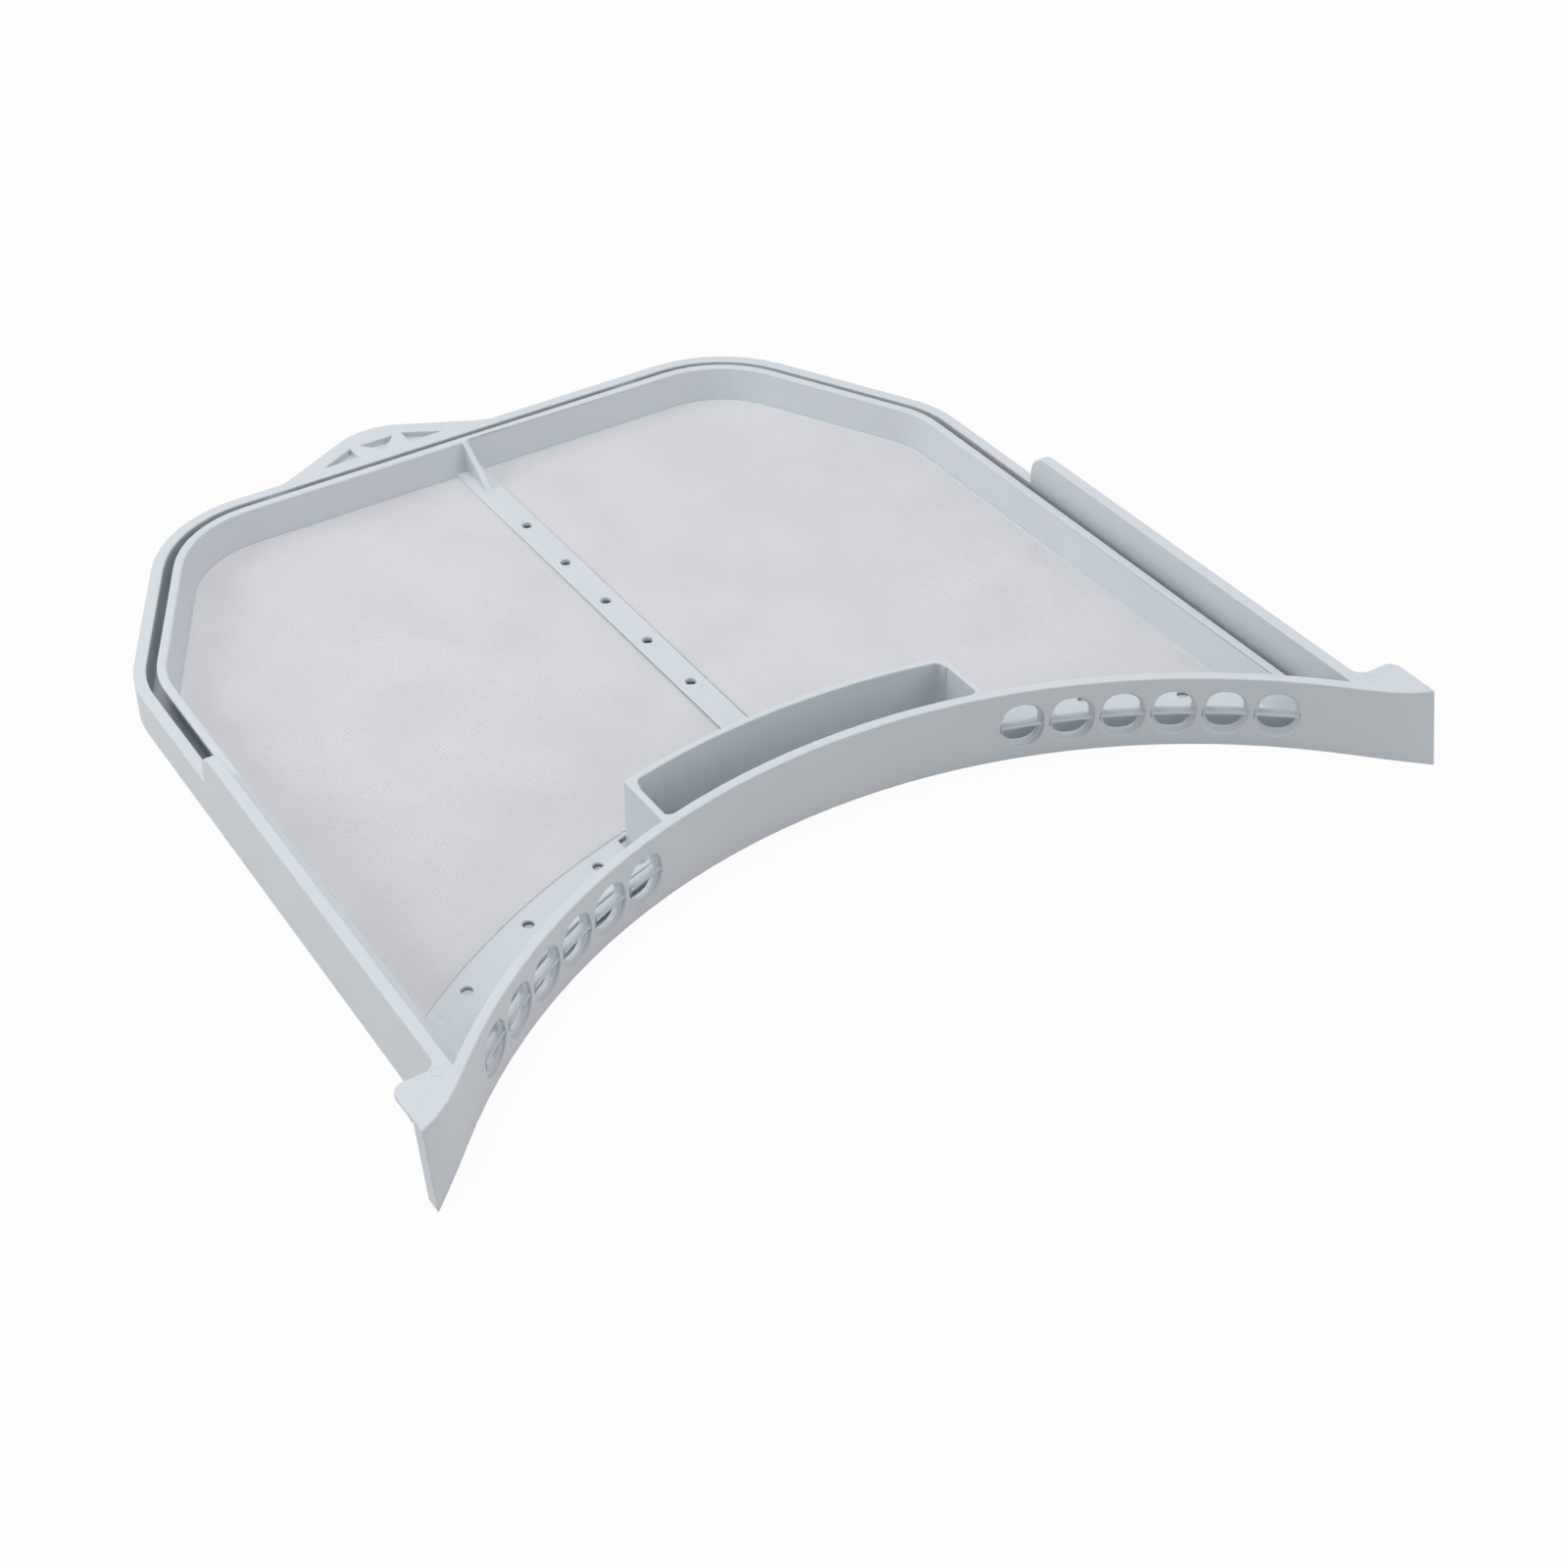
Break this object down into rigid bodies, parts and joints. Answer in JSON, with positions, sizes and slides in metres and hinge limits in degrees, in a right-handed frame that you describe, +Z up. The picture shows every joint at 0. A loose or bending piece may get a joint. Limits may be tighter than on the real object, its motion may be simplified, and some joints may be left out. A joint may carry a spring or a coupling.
{
  "type": "tumble dryer lint filter",
  "caption": "Flat lint filter with a slotted, curved front wall, a finger pocket and a mesh tray that hinges up out of its frame for cleaning.",
  "frame": {"origin": "bottom centre of the overall box", "axes": "-Y towards the curved front wall, +Y towards the narrow back edge, +Z up out of the tray"},
  "size_m": [0.34, 0.3311, 0.0252],
  "materials": {
    "frame_plastic": "fine satin",
    "mesh": "fine woven polyester"
  },
  "bodies": {
    "frame": {"outer_frame": "frame_plastic", "outer_mesh_left": "mesh", "outer_mesh_right": "mesh"},
    "tray": {"inner_frame": "frame_plastic", "inner_mesh_left": "mesh", "inner_mesh_right": "mesh"}
  },
  "joints": [
    {"name": "tray_hinge", "type": "hinge", "parent": "frame", "child": "tray", "pos_m": [0, 0.14375, 0.0105], "axis": [-1, 0, 0], "range_deg": [0, 45]}
  ]
}
